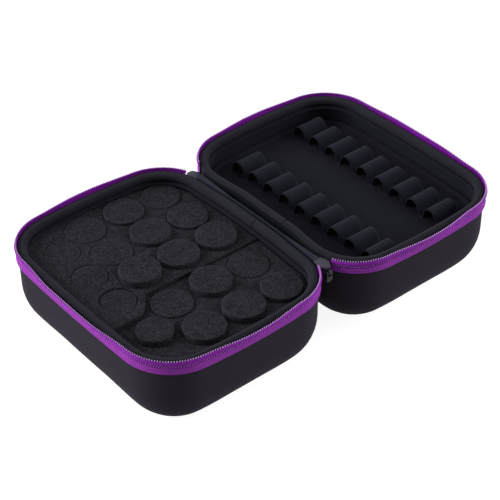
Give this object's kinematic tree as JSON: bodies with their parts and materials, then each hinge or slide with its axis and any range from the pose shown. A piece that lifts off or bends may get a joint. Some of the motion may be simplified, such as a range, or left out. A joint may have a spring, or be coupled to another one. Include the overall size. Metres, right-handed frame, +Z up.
{
  "type": "essential oil storage box",
  "caption": "Hard-shelled zip-up box for small oil bottles, open flat: foam with round plugs in the base, rows of elastic loops in the lid.",
  "frame": {"origin": "on the table, midway between the two open halves, at the middle of their length", "axes": "+X from the base half to the lid half across the hinge, +Y along the hinge, +Z up"},
  "size_m": [0.2902, 0.18, 0.0635],
  "materials": {
    "shell_fabric": "matte",
    "zip_tape": "satin",
    "zip_coil": "satin",
    "binding_fabric": "matte",
    "lining_fabric": "matte",
    "foam": "matte",
    "elastic": "matte",
    "hinge_fabric": "matte",
    "slider_metal": "satin"
  },
  "bodies": {
    "base": {"base_binding": "binding_fabric", "base_liner_band": "lining_fabric", "base_shell": "shell_fabric", "base_zip_coil": "zip_coil", "base_zip_tape": "zip_tape", "foam_floor": "foam", "foam_block_front": "foam", "foam_block_rear": "foam", "hinge_web": "hinge_fabric"},
    "lid": {"lid_binding": "binding_fabric", "lid_liner_band": "lining_fabric", "lid_pad": "foam", "lid_panel": "lining_fabric", "lid_panel_piping": "lining_fabric", "lid_shell": "shell_fabric", "lid_zip_coil": "zip_coil", "lid_zip_tape": "zip_tape", "loop_row_inner": "elastic", "loop_row_outer": "elastic"},
    "slider_front": {"slider_front": "slider_metal"},
    "slider_rear": {"slider_rear": "slider_metal"},
    "pull_front": {"slider_pull_front": "slider_metal"},
    "pull_rear": {"slider_pull_rear": "slider_metal"},
    "plug_a1": {"foam_plug_a1": "foam"},
    "plug_a2": {"foam_plug_a2": "foam"},
    "plug_a3": {"foam_plug_a3": "foam"},
    "plug_a4": {"foam_plug_a4": "foam"},
    "plug_b1": {"foam_plug_b1": "foam"},
    "plug_b2": {"foam_plug_b2": "foam"},
    "plug_b3": {"foam_plug_b3": "foam"},
    "plug_b4": {"foam_plug_b4": "foam"},
    "plug_b5": {"foam_plug_b5": "foam"},
    "plug_c1": {"foam_plug_c1": "foam"},
    "plug_c2": {"foam_plug_c2": "foam"},
    "plug_c3": {"foam_plug_c3": "foam"},
    "plug_c4": {"foam_plug_c4": "foam"},
    "plug_c5": {"foam_plug_c5": "foam"},
    "plug_d1": {"foam_plug_d1": "foam"},
    "plug_d2": {"foam_plug_d2": "foam"},
    "plug_d3": {"foam_plug_d3": "foam"},
    "plug_d4": {"foam_plug_d4": "foam"},
    "plug_d5": {"foam_plug_d5": "foam"}
  },
  "joints": [
    {"name": "lid_hinge", "type": "hinge", "parent": "base", "child": "lid", "pos_m": [0, 0, 0.06365], "axis": [0, 1, 0], "range_deg": [-180, 0], "deforming": ["hinge_web"]},
    {"name": "slider_front_turn", "type": "hinge", "parent": "base", "child": "slider_front", "pos_m": [0, 0, 0.06365], "axis": [0, 1, 0], "range_deg": [-90, 0]},
    {"name": "pull_front_swing", "type": "hinge", "parent": "slider_front", "child": "pull_front", "pos_m": [0, -0.0714, 0.0566], "axis": [-1, 0, 0], "range_deg": [-28, 110]},
    {"name": "slider_rear_turn", "type": "hinge", "parent": "base", "child": "slider_rear", "pos_m": [0, 0, 0.06365], "axis": [0, 1, 0], "range_deg": [-90, 0]},
    {"name": "pull_rear_swing", "type": "hinge", "parent": "slider_rear", "child": "pull_rear", "pos_m": [0, 0.0714, 0.054], "axis": [1, 0, 0], "range_deg": [-28, 110]},
    {"name": "plug_a1_lift", "type": "slide", "parent": "base", "child": "plug_a1", "axis": [0, 0, 1], "range_m": [-0.0012, 0.034]},
    {"name": "plug_a2_lift", "type": "slide", "parent": "base", "child": "plug_a2", "axis": [0, 0, 1], "range_m": [-0.001, 0.034]},
    {"name": "plug_a3_lift", "type": "slide", "parent": "base", "child": "plug_a3", "axis": [0, 0, 1], "range_m": [-0.0002, 0.034]},
    {"name": "plug_a4_lift", "type": "slide", "parent": "base", "child": "plug_a4", "axis": [0, 0, 1], "range_m": [-0.0056, 0.034]},
    {"name": "plug_b1_lift", "type": "slide", "parent": "base", "child": "plug_b1", "axis": [0, 0, 1], "range_m": [-0.0018, 0.034]},
    {"name": "plug_b2_lift", "type": "slide", "parent": "base", "child": "plug_b2", "axis": [0, 0, 1], "range_m": [-0.0016, 0.034]},
    {"name": "plug_b3_lift", "type": "slide", "parent": "base", "child": "plug_b3", "axis": [0, 0, 1], "range_m": [-0.0059, 0.034]},
    {"name": "plug_b4_lift", "type": "slide", "parent": "base", "child": "plug_b4", "axis": [0, 0, 1], "range_m": [-0.0022, 0.034]},
    {"name": "plug_b5_lift", "type": "slide", "parent": "base", "child": "plug_b5", "axis": [0, 0, 1], "range_m": [-0.0053, 0.034]},
    {"name": "plug_c1_lift", "type": "slide", "parent": "base", "child": "plug_c1", "axis": [0, 0, 1], "range_m": [-0.0033, 0.034]},
    {"name": "plug_c2_lift", "type": "slide", "parent": "base", "child": "plug_c2", "axis": [0, 0, 1], "range_m": [-0.0043, 0.034]},
    {"name": "plug_c3_lift", "type": "slide", "parent": "base", "child": "plug_c3", "axis": [0, 0, 1], "range_m": [-0.0046, 0.034]},
    {"name": "plug_c4_lift", "type": "slide", "parent": "base", "child": "plug_c4", "axis": [0, 0, 1], "range_m": [-0.0051, 0.034]},
    {"name": "plug_c5_lift", "type": "slide", "parent": "base", "child": "plug_c5", "axis": [0, 0, 1], "range_m": [-0.0056, 0.034]},
    {"name": "plug_d1_lift", "type": "slide", "parent": "base", "child": "plug_d1", "axis": [0, 0, 1], "range_m": [-0.0018, 0.034]},
    {"name": "plug_d2_lift", "type": "slide", "parent": "base", "child": "plug_d2", "axis": [0, 0, 1], "range_m": [-0.0028, 0.034]},
    {"name": "plug_d3_lift", "type": "slide", "parent": "base", "child": "plug_d3", "axis": [0, 0, 1], "range_m": [-0.0047, 0.034]},
    {"name": "plug_d4_lift", "type": "slide", "parent": "base", "child": "plug_d4", "axis": [0, 0, 1], "range_m": [-0.0015, 0.034]},
    {"name": "plug_d5_lift", "type": "slide", "parent": "base", "child": "plug_d5", "axis": [0, 0, 1], "range_m": [-0.0041, 0.034]}
  ],
  "couplings": [
    {"joint": "slider_front_turn", "follows": "lid_hinge", "ratio": 0.5},
    {"joint": "slider_rear_turn", "follows": "lid_hinge", "ratio": 0.5}
  ]
}
